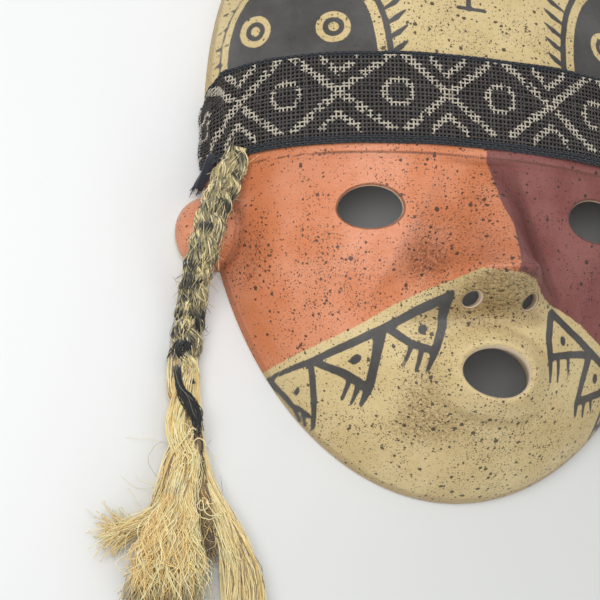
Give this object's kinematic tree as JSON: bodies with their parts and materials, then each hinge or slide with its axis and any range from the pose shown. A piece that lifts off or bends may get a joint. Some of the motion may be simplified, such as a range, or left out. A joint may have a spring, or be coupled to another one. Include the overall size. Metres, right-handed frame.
{
  "type": "folk art face mask",
  "caption": "Slip-painted clay face mask lying on its back, with pierced eyes and mouth, an open-weave cloth headband and braided rope side locks ending in frayed tassels.",
  "frame": {"origin": "the middle of the clay mask's outline, on the plane of its flat back rim", "axes": "+X along the mask's width towards the side that is on the right when it is seen from the front, +Y towards the crown, +Z out of the face"},
  "size_m": [0.2438, 0.3085, 0.0851],
  "materials": {
    "painted_clay": "burnished slip in orange, dark red and cream with charcoal line painting and dark speckles",
    "headband_cloth": "open plain weave of dark thread with cream dashes painted on it",
    "backing_cloth": "matte black cloth behind the open weave",
    "tie_cloth": "matte blue-black cloth end with a frayed edge",
    "dyed_sisal": "three-strand braid of olive-grey and charcoal dyed sisal fibre",
    "raw_sisal": "loose undyed sisal fibre"
  },
  "bodies": {
    "mask": {"mask_shell": "painted_clay", "headband_backing": "backing_cloth", "headband": "headband_cloth", "headband_tie_left": "tie_cloth", "headband_tie_right": "tie_cloth"},
    "left_lock": {"braid_left": "dyed_sisal", "tassel_left": "raw_sisal"},
    "right_lock": {"braid_right": "dyed_sisal", "tassel_right": "raw_sisal"}
  },
  "joints": [
    {"name": "left_lock_swing", "type": "hinge", "parent": "mask", "child": "left_lock", "pos_m": [-0.0855, -0.0034, 0.0295], "axis": [0, 0, -1], "range_deg": [0, 25]},
    {"name": "right_lock_swing", "type": "hinge", "parent": "mask", "child": "right_lock", "pos_m": [0.0855, -0.0086, 0.0295], "axis": [0, 0, 1], "range_deg": [0, 25]}
  ]
}
